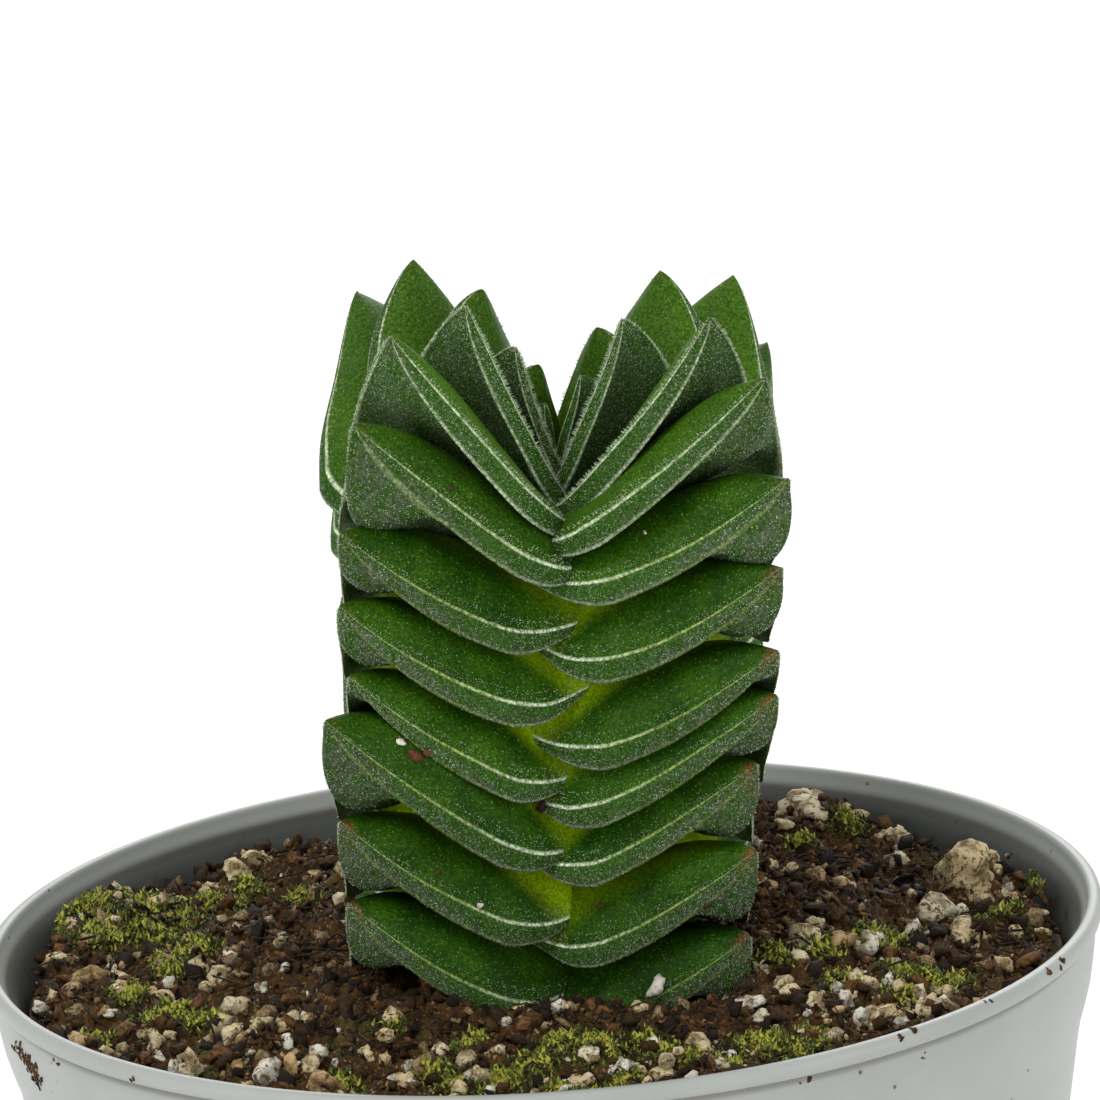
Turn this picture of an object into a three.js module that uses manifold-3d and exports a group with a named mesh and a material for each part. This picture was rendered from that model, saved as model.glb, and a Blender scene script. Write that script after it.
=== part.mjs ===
// A potted Buddha's Temple crassula: a square column of stacked, roof-shaped leaves in a round pot.
// Millimetres, +Z up. The origin is the centre of the pot's underside.
import * as THREE from "three";
import { mergeVertices } from "three/addons/utils/BufferGeometryUtils.js";
import Module from "manifold-3d";

const wasm = await Module();
wasm.setup();

// Pot, a thin tapered shell with a collar round its rim
const potHeight = 48;
const rimRadius = 27.5;
const collarHeight = 0.85;
const collarStep = 0.45;
const wallThickness = 0.8;
const floorThickness = 1.2;
const footRadius = 19.4;
const drainHoleRadius = 1.9;
const drainHoleCircle = 12;

// Soil, a mound that stands highest round the plant
const soilAtWall = 2.6;
const soilAtPlant = 1.1;
const soilGap = 0.3;
const soilRings = 12;
const soilSpokes = 36;
const grainCount = 34;

// Column of leaves: where it stands on the soil, and how far it leans towards +X
const plantX = 0.37;
const plantY = 1;
const leanDegrees = 4.6;
const stemRadius = 2.9;
const stemDepth = 12;
const stemTop = 21.9;
const stemTaperFrom = 16.5;

// Leaves
const youngHalfWidth = 5.6;
const matureHalfWidth = 9;
const youngThickness = 1;
const openThickness = 3.8;
const edgeThickness = 1.15;
const bellySwell = 12;
const marginSlope = 0.87;
const marginReach = 12;
const tipHalfWidth = 0.35;
const clearance = 0.36;

// One row for each pair of leaves, youngest first, with the leaf at the front and the one at the
// back: how far each tip stands out from the stem's axis and how high it is above the soil. The pair
// is joined to the stem at the height node, and its margins hang down from the tips by hang.
const pairs = [
  { out: [1.0, 1.0], up: [26.9, 26.8], node: 21.5, hang: 9.6 },
  { out: [1.4, 1.5], up: [28.4, 28.4], node: 21.2, hang: 9.6 },
  { out: [3.1, 2.6], up: [30.0, 30.1], node: 20.9, hang: 9.6 },
  { out: [4.1, 5.4], up: [31.6, 31.5], node: 20.5, hang: 9.6 },
  { out: [6.5, 7.0], up: [32.5, 32.3], node: 20.1, hang: 9.6 },
  { out: [9.8, 10.1], up: [32.6, 32.2], node: 19.6, hang: 9.6 },
  { out: [11.5, 12.3], up: [31.8, 31.3], node: 19.0, hang: 10.0 },
  { out: [13.4, 14.0], up: [30.3, 30.0], node: 18.4, hang: 8.7 },
  { out: [13.9, 14.9], up: [27.9, 27.5], node: 17.9, hang: 7.8 },
  { out: [15.0, 15.1], up: [25.7, 25.1], node: 17.4, hang: 5.9 },
  { out: [14.7, 15.0], up: [22.8, 22.7], node: 16.4, hang: 5.4 },
  { out: [14.7, 14.9], up: [21.3, 21.0], node: 15.0, hang: 5.1 },
  { out: [14.7, 14.6], up: [19.2, 19.4], node: 13.0, hang: 5.3 },
  { out: [14.6, 14.8], up: [17.2, 17.3], node: 11.0, hang: 5.6 },
  { out: [14.0, 14.5], up: [15.6, 15.8], node: 8.9, hang: 6.0 },
  { out: [14.6, 14.8], up: [15.0, 14.3], node: 7.2, hang: 6.8 },
  { out: [15.6, 14.9], up: [13.7, 13.0], node: 5.5, hang: 7.9 },
  { out: [13.4, 13.9], up: [11.4, 11.2], node: 4.0, hang: 6.2 },
  { out: [14.5, 14.2], up: [8.5, 8.9], node: 2.4, hang: 6.0 },
  { out: [13.5, 13.9], up: [7.1, 7.0], node: 0.9, hang: 6.0 },
  { out: [13.9, 13.7], up: [4.3, 4.8], node: -1.0, hang: 6.0 },
  { out: [13.2, 13.5], up: [2.8, 3.0], node: -2.5, hang: 6.0 },
];
const budPairs = 2;
const openPair = 10.5;

const leafRows = [0, 0.2, 0.4, 0.62, 0.82, 0.95, 1];
const leafColumns = [-1, -0.55, 0, 0.55, 1];

const materials = {
  pot: new THREE.MeshStandardMaterial({ color: 0xb9c0bf, roughness: 0.45, metalness: 0 }),
  soil: new THREE.MeshStandardMaterial({ color: 0x3b2a1c, roughness: 0.95, metalness: 0 }),
  stem: new THREE.MeshStandardMaterial({ color: 0x6f7f45, roughness: 0.7, metalness: 0 }),
  leaf: new THREE.MeshStandardMaterial({ color: 0x4c6b3a, roughness: 0.6, metalness: 0 }),
};

function smooth(from, to, x) {
  const k = Math.min(1, Math.max(0, (x - from) / (to - from)));
  return k * k * (3 - 2 * k);
}

function mix(a, b, k) {
  return a + (b - a) * k;
}

function seededRandom(seed) {
  let state = seed;
  return () => {
    state = (state + 0x6d2b79f5) | 0;
    let t = Math.imul(state ^ (state >>> 15), 1 | state);
    t = (t + Math.imul(t ^ (t >>> 7), 61 | t)) ^ t;
    return ((t ^ (t >>> 14)) >>> 0) / 4294967296;
  };
}

// A geometry with one vertex where several meet
function welded(geometry) {
  const bare = geometry.clone();
  bare.deleteAttribute("normal");
  bare.deleteAttribute("uv");
  return mergeVertices(bare, 1e-4);
}

// A closed geometry as a solid that can be cut and joined
function solidOf(geometry) {
  const merged = welded(geometry);
  return new wasm.Manifold(
    new wasm.Mesh({
      numProp: 3,
      vertProperties: Float32Array.from(merged.attributes.position.array),
      triVerts: Uint32Array.from(merged.index.array),
    }),
  );
}

// The largest single body of a solid, as a geometry with flat shading
function geometryOf(solid) {
  const bodies = solid.decompose();
  bodies.sort((a, b) => b.volume() - a.volume());
  const mesh = bodies[0].getMesh();
  const geometry = new THREE.BufferGeometry();
  geometry.setAttribute("position", new THREE.BufferAttribute(mesh.vertProperties, 3));
  geometry.setIndex(new THREE.BufferAttribute(mesh.triVerts, 1));
  geometry.computeVertexNormals();
  return geometry;
}

function addPart(group, name, geometry, material) {
  const mesh = new THREE.Mesh(geometry, material);
  mesh.name = name;
  group.add(mesh);
}

// A slab between two sheets of points, with a wall round its edge. Each sheet is a list of rows.
function slab(upper, lower) {
  const rows = upper.length;
  const columns = upper[0].length;
  const positions = [...upper.flat(), ...lower.flat()].flatMap((p) => [p.x, p.y, p.z]);
  const top = (i, j) => i * columns + j;
  const under = (i, j) => rows * columns + i * columns + j;
  const faces = [];
  for (let i = 0; i < rows - 1; i++) {
    for (let j = 0; j < columns - 1; j++) {
      faces.push(top(i, j), top(i + 1, j), top(i + 1, j + 1));
      faces.push(top(i, j), top(i + 1, j + 1), top(i, j + 1));
      faces.push(under(i, j), under(i + 1, j + 1), under(i + 1, j));
      faces.push(under(i, j), under(i, j + 1), under(i + 1, j + 1));
    }
  }
  const rim = [];
  for (let j = 0; j < columns - 1; j++) rim.push([0, j]);
  for (let i = 0; i < rows - 1; i++) rim.push([i, columns - 1]);
  for (let j = columns - 1; j > 0; j--) rim.push([rows - 1, j]);
  for (let i = rows - 1; i > 0; i--) rim.push([i, 0]);
  rim.forEach(([i, j], k) => {
    const [m, n] = rim[(k + 1) % rim.length];
    faces.push(top(i, j), top(m, n), under(m, n));
    faces.push(top(i, j), under(m, n), under(i, j));
  });
  const geometry = new THREE.BufferGeometry();
  geometry.setAttribute("position", new THREE.Float32BufferAttribute(positions, 3));
  geometry.setIndex(faces);
  return geometry;
}

// Each vertex moved out along its normal, so that a neighbour cut by the result keeps a gap. At a
// sharp edge the vertex moves further, so that the faces beside it keep their distance too.
function grown(geometry, distance) {
  const copy = welded(geometry);
  copy.computeVertexNormals();
  const position = copy.attributes.position;
  const normal = copy.attributes.normal;
  const corners = copy.index.array;
  const reach = new Float32Array(position.count).fill(1);
  const triangle = new THREE.Triangle();
  const facing = new THREE.Vector3();
  const way = new THREE.Vector3();
  for (let i = 0; i < corners.length; i += 3) {
    triangle.setFromAttributeAndIndices(position, corners[i], corners[i + 1], corners[i + 2]);
    triangle.getNormal(facing);
    for (const corner of corners.slice(i, i + 3)) {
      way.fromBufferAttribute(normal, corner);
      reach[corner] = Math.min(reach[corner], Math.max(0.45, way.dot(facing)));
    }
  }
  for (let i = 0; i < position.count; i++) {
    way.fromBufferAttribute(normal, i).multiplyScalar(distance / reach[i]);
    position.setXYZ(i, position.getX(i) + way.x, position.getY(i) + way.y, position.getZ(i) + way.z);
  }
  return copy;
}

// The stem is a post that tapers to the growing tip
function stemRadiusAt(height) {
  return mix(stemRadius, 0.45, smooth(stemTaperFrom, stemTop + 0.6, height));
}

// The sizes of one leaf of a pair, 0 at the front and 1 at the back
function leafSizes(pair, which) {
  const out = pairs[pair].out[which];
  const up = pairs[pair].up[which];
  const node = pairs[pair].node;
  const youth = Math.max(0, 1 - pair / 8.5);
  const growth = 1 - 0.82 * youth ** 1.6 - 0.08 * smooth(16, 20, pair);
  const baseOut = stemRadiusAt(node) + clearance;
  const reach = Math.hypot(out - baseOut, up - node);
  const opening = smooth(2, openPair, pair);
  const broad = smooth(4, 9.5, pair);
  const below = pairs[pair + 2] ? pairs[pair + 2].up[which] : up - 4;
  const young = mix(youngThickness, openThickness, smooth(1, 10, pair));
  return {
    baseOut,
    node,
    out,
    up,
    halfWidth: mix(youngHalfWidth, matureHalfWidth, broad) * growth,
    taper: mix(3.6, 1.2, broad),
    thickness: mix(young, 1.03 * (up - below), smooth(6.5, 8, pair)),
    fold: mix(0.6, 1, opening),
    flare: mix(1, 0.15, opening),
    roof: 0.65 * opening,
    hang: 1 - 0.85 * opening,
    opening,
    sag: (marginSlope * marginReach - pairs[pair].hang) / marginReach ** 2,
    swell: THREE.MathUtils.degToRad(bellySwell * opening),
    baseTilt: THREE.MathUtils.degToRad(mix(80, 3, smooth(0, 9, pair))),
    tipTilt: THREE.MathUtils.degToRad(mix(86, -6, opening)),
    baseArm: 0.33 * reach,
    tipArm: 0.42 * reach,
  };
}

// The midrib in the leaf's own upright plane: x is out from the axis, y is up
function midribOf(leaf) {
  const base = new THREE.Vector2(leaf.baseOut, leaf.node);
  const tip = new THREE.Vector2(leaf.out, leaf.up);
  const baseWay = new THREE.Vector2(Math.cos(leaf.baseTilt), Math.sin(leaf.baseTilt));
  const tipWay = new THREE.Vector2(Math.cos(leaf.tipTilt), Math.sin(leaf.tipTilt));
  return new THREE.CubicBezierCurve(
    base,
    base.clone().addScaledVector(baseWay, leaf.baseArm),
    tip.clone().addScaledVector(tipWay, -leaf.tipArm),
    tip,
  );
}

// A point of a leaf that points along +X. s runs from the stem to the tip, q from one margin to the
// other. The leaf is a tent: its ridge stays high and its margins, the eaves, hang down along the
// side of the column, steeply by the tip and nearly level at the middle of the side. Its belly is
// thickest under the ridge near the tip, where it rests on the leaf below, and turns up to the tip
// as a rounded nose.
function leafPoint(leaf, midrib, s, q, under) {
  const rib = midrib.getPoint(s);
  const way = midrib.getTangent(s);
  const side = Math.abs(q);
  const waist = mix(0.47, 1, smooth(0, 0.26, s));
  const halfWidth = leaf.halfWidth * waist * (1 - s ** leaf.taper) + tipHalfWidth;
  const drop = leaf.fold * s ** 1.5 * halfWidth;
  const back = 0.82 * leaf.baseOut * (1 - smooth(0, 0.3, s)) * q * q;
  const ridge = mix(rib.y, leaf.up, leaf.roof);
  const span = (leaf.out - rib.x + halfWidth) / Math.SQRT2;
  const hung = leaf.up - marginSlope * span + leaf.sag * span ** 2;
  const eave = mix(rib.y - way.x * drop, hung, leaf.opening);
  const down = side ** mix(2.4, 3, leaf.opening);
  let out = rib.x + leaf.flare * way.y * drop * down - back;
  let up = mix(ridge, eave, down);
  if (under) {
    const deep = leaf.thickness * mix(0.7, 1, smooth(0.45, 0.85, s));
    const thinning = mix(mix(1, 0.4, leaf.opening), 1, smooth(0.1, 0.42, s));
    const edge = Math.min(edgeThickness, leaf.thickness * 0.55) * thinning;
    const nose = Math.sqrt(1 - 0.93 * s ** 7);
    const belly = mix((1 - side) ** 1.7, 1 - side ** 2, smooth(0.6, 0.85, s));
    const thick = (edge + Math.max(0, deep - edge) * belly) * nose;
    const swell = leaf.swell * smooth(0.6, 0.85, s) * (1 - side ** 2);
    const tilt = Math.asin(way.y * leaf.hang) + swell;
    out += thick * Math.sin(tilt);
    up -= thick * Math.cos(tilt);
  }
  return new THREE.Vector3(out, halfWidth * q, up);
}

function leafGeometry(pair, which) {
  const leaf = leafSizes(pair, which);
  const midrib = midribOf(leaf);
  const sheet = (under) =>
    leafRows.map((s) => leafColumns.map((q) => leafPoint(leaf, midrib, s, q, under)));
  return slab(sheet(false), sheet(true)).rotateZ(leafTurn(pair, which));
}

// Even pairs point to the front left and back right corners, odd pairs to the other two
function leafTurn(pair, which) {
  const front = pair % 2 === 0 ? 225 : 315;
  return THREE.MathUtils.degToRad(front - 180 * which);
}

const plantFrame = new THREE.Matrix4()
  .makeTranslation(plantX, plantY, potHeight - soilAtPlant)
  .multiply(new THREE.Matrix4().makeRotationY(THREE.MathUtils.degToRad(leanDegrees)));

function stemGeometry() {
  const heights = [-stemDepth, 0, 6, 12, stemTaperFrom, 18, 19.2, 20.2, 21.1, stemTop];
  const profile = heights.map((z) => new THREE.Vector2(stemRadiusAt(z), z));
  return new THREE.LatheGeometry(
    [new THREE.Vector2(0, -stemDepth), ...profile, new THREE.Vector2(0, stemTop)],
    12,
  ).rotateX(Math.PI / 2);
}

function inPlantFrame(geometry) {
  return geometry.applyMatrix4(plantFrame);
}

// Stem with the growing tip, whose scale-sized leaves are part of it
function stemSolid() {
  let solid = solidOf(inPlantFrame(stemGeometry()));
  for (let pair = 0; pair < budPairs; pair++) {
    for (const which of [0, 1]) {
      solid = solid.add(solidOf(inPlantFrame(leafGeometry(pair, which))));
    }
  }
  return solid;
}

function rolling(x, y) {
  return (
    0.32 * Math.sin(0.41 * x + 1.3) * Math.cos(0.37 * y - 0.6) +
    0.2 * Math.sin(0.93 * x - 0.71 * y) +
    0.12 * Math.cos(1.71 * x + 1.33 * y + 0.8)
  );
}

function wallRadiusAt(height) {
  const top = rimRadius - collarStep - wallThickness;
  return mix(footRadius - wallThickness, top, height / potHeight);
}

function soilHeight(x, y) {
  const near = smooth(24, 12, Math.hypot(x, y));
  return potHeight - mix(soilAtWall, soilAtPlant, near) + rolling(x, y);
}

function soilGeometry() {
  const floor = floorThickness + soilGap;
  const rings = [];
  for (let i = 0; i < soilRings; i++) {
    rings.push(Math.sqrt((i + 0.5) / (soilRings - 0.5)));
  }
  const positions = [0, 0, soilHeight(0, 0)];
  const edgeRadius = wallRadiusAt(potHeight - soilAtWall) - soilGap;
  for (const ring of rings) {
    for (let k = 0; k < soilSpokes; k++) {
      const turn = (k / soilSpokes) * Math.PI * 2;
      const x = ring * edgeRadius * Math.cos(turn);
      const y = ring * edgeRadius * Math.sin(turn);
      positions.push(x, y, ring === 1 ? potHeight - soilAtWall - 0.3 : soilHeight(x, y));
    }
  }
  const floorRadius = wallRadiusAt(floor) - soilGap;
  for (let k = 0; k < soilSpokes; k++) {
    const turn = (k / soilSpokes) * Math.PI * 2;
    positions.push(floorRadius * Math.cos(turn), floorRadius * Math.sin(turn), floor);
  }
  positions.push(0, 0, floor);
  const faces = [];
  const at = (ring, k) => 1 + ring * soilSpokes + (k % soilSpokes);
  const last = 1 + (soilRings + 1) * soilSpokes;
  for (let k = 0; k < soilSpokes; k++) {
    faces.push(0, at(0, k), at(0, k + 1));
    for (let ring = 0; ring < soilRings; ring++) {
      faces.push(at(ring, k), at(ring + 1, k), at(ring + 1, k + 1));
      faces.push(at(ring, k), at(ring + 1, k + 1), at(ring, k + 1));
    }
    faces.push(last, at(soilRings, k + 1), at(soilRings, k));
  }
  const geometry = new THREE.BufferGeometry();
  geometry.setAttribute("position", new THREE.Float32BufferAttribute(positions, 3));
  geometry.setIndex(faces);
  return geometry;
}

// Mineral grains lie half sunk in the soil and are part of it
function grainGeometries() {
  const random = seededRandom(11);
  const grains = [];
  while (grains.length < grainCount) {
    const turn = random() * Math.PI * 2;
    const radius = 23.2 * Math.sqrt(random());
    const size = 0.6 + 1.1 * random() ** 2;
    const x = radius * Math.cos(turn);
    const y = radius * Math.sin(turn);
    const inPlant = Math.max(Math.abs(x - plantX), Math.abs(y - plantY)) < 12.5 + size;
    const grain = new THREE.OctahedronGeometry(size, 0)
      .scale(1, 0.6 + 0.4 * random(), 0.55 + 0.3 * random())
      .rotateZ(random() * Math.PI)
      .rotateX(random() * 0.8)
      .translate(x, y, soilHeight(x, y) + 0.1 * size);
    if (!inPlant) grains.push(grain);
  }
  return grains;
}

function soilSolid(roots) {
  let solid = solidOf(soilGeometry());
  for (const grain of grainGeometries()) solid = solid.add(solidOf(grain));
  for (const root of roots) solid = solid.subtract(root);
  return solid;
}

function potSolid() {
  const collarFoot = potHeight - collarHeight;
  const outerAtCollar = rimRadius - collarStep;
  const innerRim = rimRadius - 0.7;
  const profile = [
    [0, 0],
    [footRadius - 0.4, 0],
    [footRadius, 0.4],
    [outerAtCollar, collarFoot],
    [rimRadius, collarFoot + 0.12],
    [rimRadius, potHeight - 0.22],
    [rimRadius - 0.2, potHeight],
    [innerRim + 0.15, potHeight],
    [innerRim, potHeight - 0.15],
    [wallRadiusAt(collarFoot), collarFoot - 0.6],
    [wallRadiusAt(floorThickness), floorThickness],
    [0, floorThickness],
  ].map(([r, z]) => new THREE.Vector2(r, z));
  let solid = solidOf(new THREE.LatheGeometry(profile, 44).rotateX(Math.PI / 2));
  for (let k = 0; k < 4; k++) {
    const turn = (k + 0.5) * (Math.PI / 2);
    const hole = new THREE.CylinderGeometry(drainHoleRadius, drainHoleRadius, 6, 12)
      .rotateX(Math.PI / 2)
      .translate(drainHoleCircle * Math.cos(turn), drainHoleCircle * Math.sin(turn), 0);
    solid = solid.subtract(solidOf(hole));
  }
  return solid;
}

// Every leaf as its solid, and the same leaf grown by the clearance to cut its neighbours with
function growLeaves() {
  const leaves = [];
  for (let pair = budPairs; pair < pairs.length; pair++) {
    for (const which of [0, 1]) {
      const geometry = inPlantFrame(leafGeometry(pair, which));
      leaves.push({
        name: `leaf_${String(pair + 1).padStart(2, "0")}_${which ? "back" : "front"}`,
        pair,
        solid: solidOf(geometry),
        cutter: solidOf(grown(geometry, clearance)),
      });
    }
  }
  return leaves;
}

// A leaf's belly is hollowed where it rests on the leaves below
function seat(leaf, leaves, stemCutter) {
  let solid = leaf.solid.subtract(stemCutter);
  for (const other of leaves) {
    const below = other.pair - leaf.pair;
    if (below > 0 && below <= 4) solid = solid.subtract(other.cutter);
  }
  return solid;
}

// The hollow that a leaf presses into the soil: the leaf itself, nudged every way by the clearance
function hollowOf(leaf) {
  const nudges = [-clearance, clearance].flatMap((k) => [[k, 0, 0], [0, k, 0], [0, 0, k]]);
  return [leaf.solid, leaf.cutter, ...nudges.map((nudge) => leaf.solid.translate(nudge))];
}

const plant = new THREE.Group();
const leaves = growLeaves();
const stem = stemSolid();
const stemCutter = solidOf(grown(inPlantFrame(stemGeometry()), 0.3));
const hollows = leaves.filter((leaf) => leaf.pair > 17).flatMap(hollowOf);

addPart(plant, "pot", geometryOf(potSolid()), materials.pot);
addPart(plant, "soil", geometryOf(soilSolid([stemCutter, ...hollows])), materials.soil);
addPart(plant, "stem", geometryOf(stem), materials.stem);
for (const leaf of leaves) {
  addPart(plant, leaf.name, geometryOf(seat(leaf, leaves, stemCutter)), materials.leaf);
}

export default plant;
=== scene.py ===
# %% [markdown]
# # A potted Buddha's Temple crassula
# The plant is a square column of thick leaves, stacked in four ranks, in a small grey nursery pot.
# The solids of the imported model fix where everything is. This script dresses them: each step first
# says what the piece is on the real plant, how it could be made, and why it is made this way.

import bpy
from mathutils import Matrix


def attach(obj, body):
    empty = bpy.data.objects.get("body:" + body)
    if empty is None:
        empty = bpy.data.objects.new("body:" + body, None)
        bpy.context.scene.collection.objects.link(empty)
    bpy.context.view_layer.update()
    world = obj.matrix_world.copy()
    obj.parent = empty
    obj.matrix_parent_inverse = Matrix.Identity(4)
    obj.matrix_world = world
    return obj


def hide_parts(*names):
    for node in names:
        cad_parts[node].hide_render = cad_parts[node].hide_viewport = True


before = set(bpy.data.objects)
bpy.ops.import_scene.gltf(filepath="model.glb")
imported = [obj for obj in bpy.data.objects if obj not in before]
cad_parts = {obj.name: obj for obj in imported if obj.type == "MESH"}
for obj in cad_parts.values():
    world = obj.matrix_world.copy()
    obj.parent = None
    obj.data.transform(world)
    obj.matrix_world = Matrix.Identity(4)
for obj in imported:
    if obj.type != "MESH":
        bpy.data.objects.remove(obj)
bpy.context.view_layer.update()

# %% [markdown]
# Blender works in metres and the plant is measured in millimetres, so every shape is worked out in
# millimetres and scaled at the very end. Random choices come from one seeded source, so that the
# plant is the same plant each time.

# %% Tools and units
import math

import bmesh
import bpy
import numpy as np
from mathutils import Matrix, Vector, noise
from mathutils.bvhtree import BVHTree

MM = 0.001
chance = np.random.default_rng(7)


def ease(start, end, x):
    """0 before start, 1 after end, and a smooth step between them."""
    k = np.clip((x - start) / (end - start), 0, 1)
    return k * k * (3 - 2 * k)


def mix(a, b, k):
    return a + (b - a) * k


def put_in_scene(name, data):
    item = bpy.data.objects.new(name, data)
    bpy.context.scene.collection.objects.link(item)
    return item


def mesh_of(bm, name):
    """Turns a bmesh into a mesh and frees it."""
    mesh = bpy.data.meshes.new(name)
    bm.to_mesh(mesh)
    bm.free()
    return mesh


# %% [markdown]
# ## Camera
# The picture was taken with a long lens from a little above the rim, and the camera was tilted
# slightly to one side. The rim's ellipse and the leaf tips give its place. A camera could be aimed
# with a Track To constraint, but its own three axes are known here, so they go straight into its
# matrix.

# %% Camera
IMAGE_SIDE = 1100
FOCAL_PIXELS = 7210.39
CAMERA_PITCH = math.radians(14.379)
CAMERA_ROLL = math.radians(-3.803)
CAMERA_TARGET = Vector((1.608, 0, 66.501))
CAMERA_DISTANCE = 350

forward = Vector((0, math.cos(CAMERA_PITCH), -math.sin(CAMERA_PITCH)))
level_up = Vector((0, math.sin(CAMERA_PITCH), math.cos(CAMERA_PITCH)))
level_right = Vector((1, 0, 0))
right = level_right * math.cos(CAMERA_ROLL) + level_up * math.sin(CAMERA_ROLL)
up = level_up * math.cos(CAMERA_ROLL) - level_right * math.sin(CAMERA_ROLL)
eye = CAMERA_TARGET - forward * CAMERA_DISTANCE

lens = bpy.data.cameras.new("camera")
lens.sensor_width = 36
lens.lens = 36 * FOCAL_PIXELS / IMAGE_SIDE
lens.clip_start, lens.clip_end = 0.01, 20
camera = put_in_scene("camera", lens)
camera.matrix_world = Matrix.Translation(eye * MM) @ Matrix((right, up, -forward)).transposed().to_4x4()
bpy.context.scene.camera = camera
print("lens", round(lens.lens, 1), "mm at", CAMERA_DISTANCE, "mm")


def ray_through(x, y):
    """The direction from the camera through a point of the picture."""
    centre = IMAGE_SIDE / 2
    return (forward * FOCAL_PIXELS + right * (x - centre) - up * (y - centre)).normalized()


# %% [markdown]
# ## Studio
# The background of the picture is plain white, and the light is soft and comes from everywhere, with
# the brightest part above and to the left. A white world and a white floor give the bright rims on
# the leaves' outlines, and one broad lamp gives the tops their shape.

# %% Floor, world and lamps
FLOOR_SIDE = 6.0
PLANT_MIDDLE = Vector((0, 0, 0.06))


def add_lamp(name, place, size, power):
    """A round, soft lamp that shines on the plant."""
    lamp = bpy.data.lights.new(name, "AREA")
    lamp.shape = "DISK"
    lamp.size = size
    lamp.energy = power
    item = put_in_scene(name, lamp)
    item.location = Vector(place)
    item.rotation_euler = (Vector(place) - PLANT_MIDDLE).to_track_quat("Z", "Y").to_euler()


world = bpy.data.worlds.new("white_studio")
bpy.context.scene.world = world
world.use_nodes = True
background = world.node_tree.nodes["Background"].inputs
background["Color"].default_value = (0.97, 0.985, 1, 1)
background["Strength"].default_value = 0.8
bpy.context.scene.view_settings.view_transform = "Standard"

add_lamp("lamp_high_left", (-0.35, -0.35, 0.75), 0.45, 2.4)
add_lamp("lamp_low_left", (-0.55, -0.4, 0.12), 0.4, 0.9)
add_lamp("lamp_low_right", (0.55, -0.35, 0.12), 0.4, 1.1)
add_lamp("lamp_behind", (0.1, 0.8, 0.5), 0.6, 3)

bm = bmesh.new()
bmesh.ops.create_grid(bm, x_segments=2, y_segments=2, size=FLOOR_SIDE / 2)
floor = put_in_scene("floor", mesh_of(bm, "floor"))
print("studio: floor", FLOOR_SIDE, "m, 4 lamps")

# %% [markdown]
# ## Finishes
# Most finishes here are made the same way: a pattern gives a number, the number is turned into a
# soft step, and the step mixes two colours. One small class holds a material and wires these nodes,
# so that each finish reads like a recipe. The patterns use Object coordinates, and their sizes are
# given per millimetre.

# %% Finish


class Finish:
    """A material with its shader, and short names for the nodes that paint it."""

    def __init__(self, name, roughness=0.5, gloss=0.2):
        self.material = bpy.data.materials.new(name)
        self.material.use_nodes = True
        self.tree = self.material.node_tree
        self.shader = self.tree.nodes["Principled BSDF"]
        self.shader.inputs["Roughness"].default_value = roughness
        self.shader.inputs["Specular IOR Level"].default_value = gloss
        self.place = self.node("ShaderNodeTexCoord").outputs["Object"]

    def feed(self, socket, value):
        """Gives a socket a number, a colour or another node's output."""
        if isinstance(value, bpy.types.NodeSocket):
            self.tree.links.new(value, socket)
        elif isinstance(value, tuple):
            socket.default_value = (*value, 1)
        else:
            socket.default_value = value

    def node(self, kind, values=None, **settings):
        node = self.tree.nodes.new(kind)
        for key, value in settings.items():
            setattr(node, key, value)
        for key, value in (values or {}).items():
            self.feed(node.inputs[key], value)
        return node

    def math(self, operation, first, second):
        return self.node("ShaderNodeMath", {0: first, 1: second}, operation=operation).outputs[0]

    def times(self, first, second):
        return self.math("MULTIPLY", first, second)

    def larger(self, first, second):
        return self.math("MAXIMUM", first, second)

    def step(self, value, low, high, to_low=0.0, to_high=1.0):
        """A smooth change from to_low to to_high as value goes from low to high."""
        ends = {"From Min": low, "From Max": high, "To Min": to_low, "To Max": to_high}
        kind = "ShaderNodeMapRange"
        return self.node(kind, {"Value": value, **ends}, interpolation_type="SMOOTHSTEP").outputs["Result"]

    def blend(self, share, first, second):
        """The first colour where the share is 0, the second where it is 1."""
        node = self.node("ShaderNodeMix", {0: share, 6: first, 7: second}, data_type="RGBA")
        return node.outputs[2]

    def own(self, name):
        """A number stored on the piece's own vertices."""
        return self.node("ShaderNodeAttribute", attribute_name=name).outputs["Fac"]

    def noise(self, per_mm, detail=2.0, roughness=0.5):
        sizes = {"Scale": per_mm / MM, "Detail": detail, "Roughness": roughness}
        return self.node("ShaderNodeTexNoise", {"Vector": self.place, **sizes}).outputs["Fac"]

    def dots(self, per_mm, size):
        """Small round dots, about per_mm of them along a millimetre; size is their share of a cell."""
        node = self.node("ShaderNodeTexVoronoi", {"Vector": self.place, "Scale": per_mm / MM})
        return self.step(node.outputs["Distance"], size * 0.45, size, 1.0, 0.0)

    def give(self, name, value):
        self.feed(self.shader.inputs[name], value)

    def relief(self, height, depth):
        """Raises the surface by a pattern, depth in millimetres."""
        bump = self.node("ShaderNodeBump", {"Height": height, "Distance": depth * MM})
        self.give("Normal", bump.outputs["Normal"])


paint = Finish("white_paper", roughness=0.8, gloss=0.5)
grain = paint.node("ShaderNodeTexNoise", {"Scale": 40}).outputs["Fac"]
grain_tint = paint.node("ShaderNodeMapRange", {"Value": grain, "To Min": 0.9, "To Max": 0.94})
paint.give("Base Color", grain_tint.outputs["Result"])
floor.data.materials.append(paint.material)
print("floor finish:", paint.material.name)

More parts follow.
